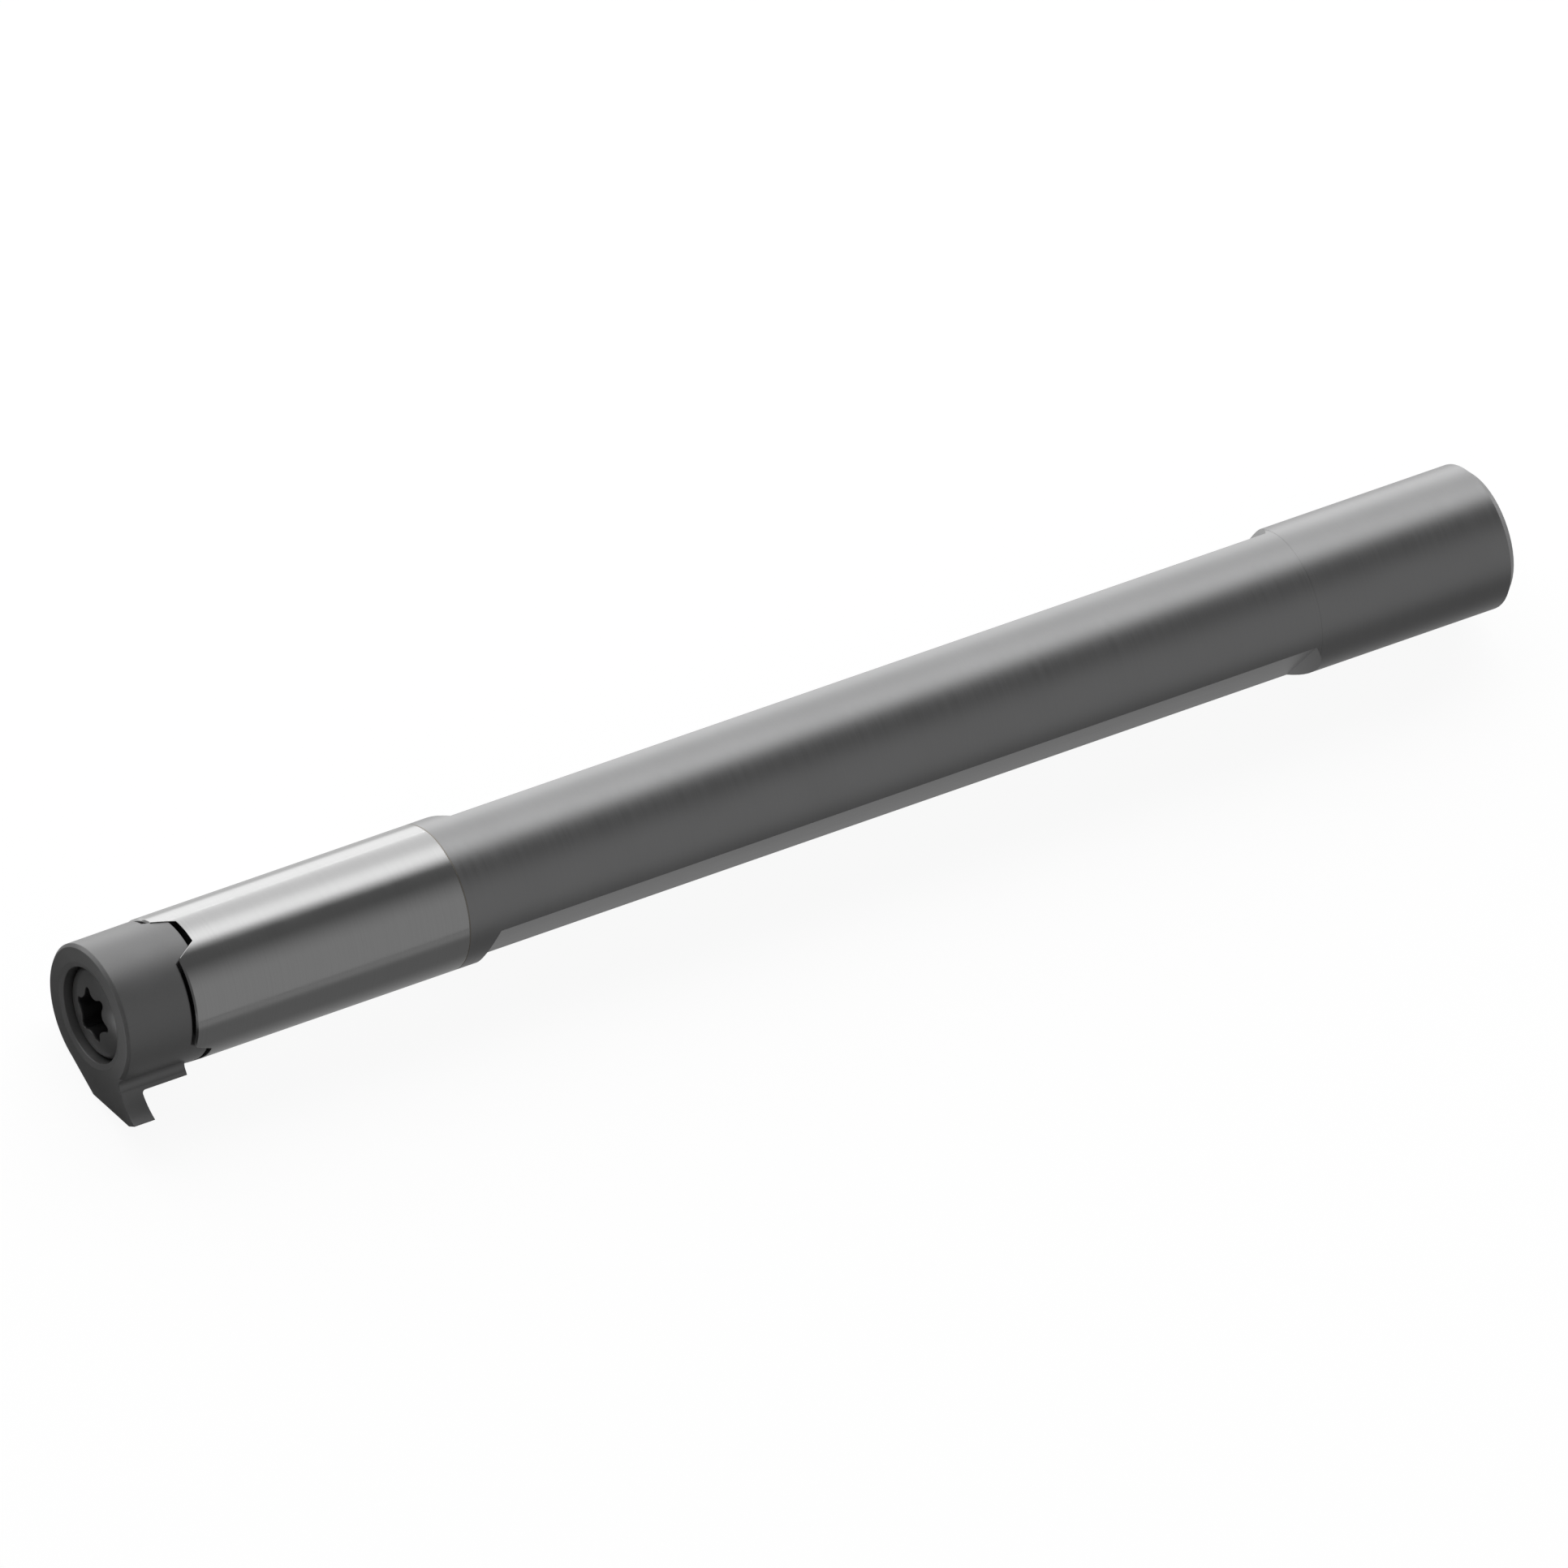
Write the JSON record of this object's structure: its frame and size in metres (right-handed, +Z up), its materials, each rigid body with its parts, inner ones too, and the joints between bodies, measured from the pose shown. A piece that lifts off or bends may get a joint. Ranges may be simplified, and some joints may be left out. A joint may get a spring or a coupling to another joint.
{
  "type": "turning tool holder",
  "caption": "Round internal grooving bar: carbide shank with clamping flats, brazed steel nose, and a grooving head on a toothed coupling held by a central clamp screw.",
  "frame": {"origin": "centre of the shank's rear end face, on the bar's axis", "axes": "+X along the bar's axis and out of its rear end, +Z up with the bar lying on its side, +Y completing the right-handed set"},
  "size_m": [0.1289, 0.0151, 0.012],
  "materials": {
    "pressed_carbide": "satin, pressed and sintered carbide",
    "blackened_steel": "black oxide, satin",
    "polished_steel": "polished",
    "silver_braze": "thin silver braze line",
    "ground_carbide": "fine ground, satin"
  },
  "bodies": {
    "bar": {"steel_nose": "polished_steel", "braze_layer": "silver_braze", "carbide_shank": "ground_carbide"},
    "head": {"cutting_head": "pressed_carbide"},
    "screw": {"clamp_screw": "blackened_steel"}
  },
  "joints": [
    {"name": "head_release", "type": "slide", "parent": "bar", "child": "head", "axis": [-1, 0, 0], "range_m": [0, 0.0072]},
    {"name": "screw_turn", "type": "hinge", "parent": "head", "child": "screw", "pos_m": [-0.1288, 0, 0], "axis": [-1, 0, 0], "range_deg": [0, 3240]}
  ],
  "couplings": [
    {"joint": "screw_turn", "follows": "head_release", "rad_per_m": 7854}
  ]
}
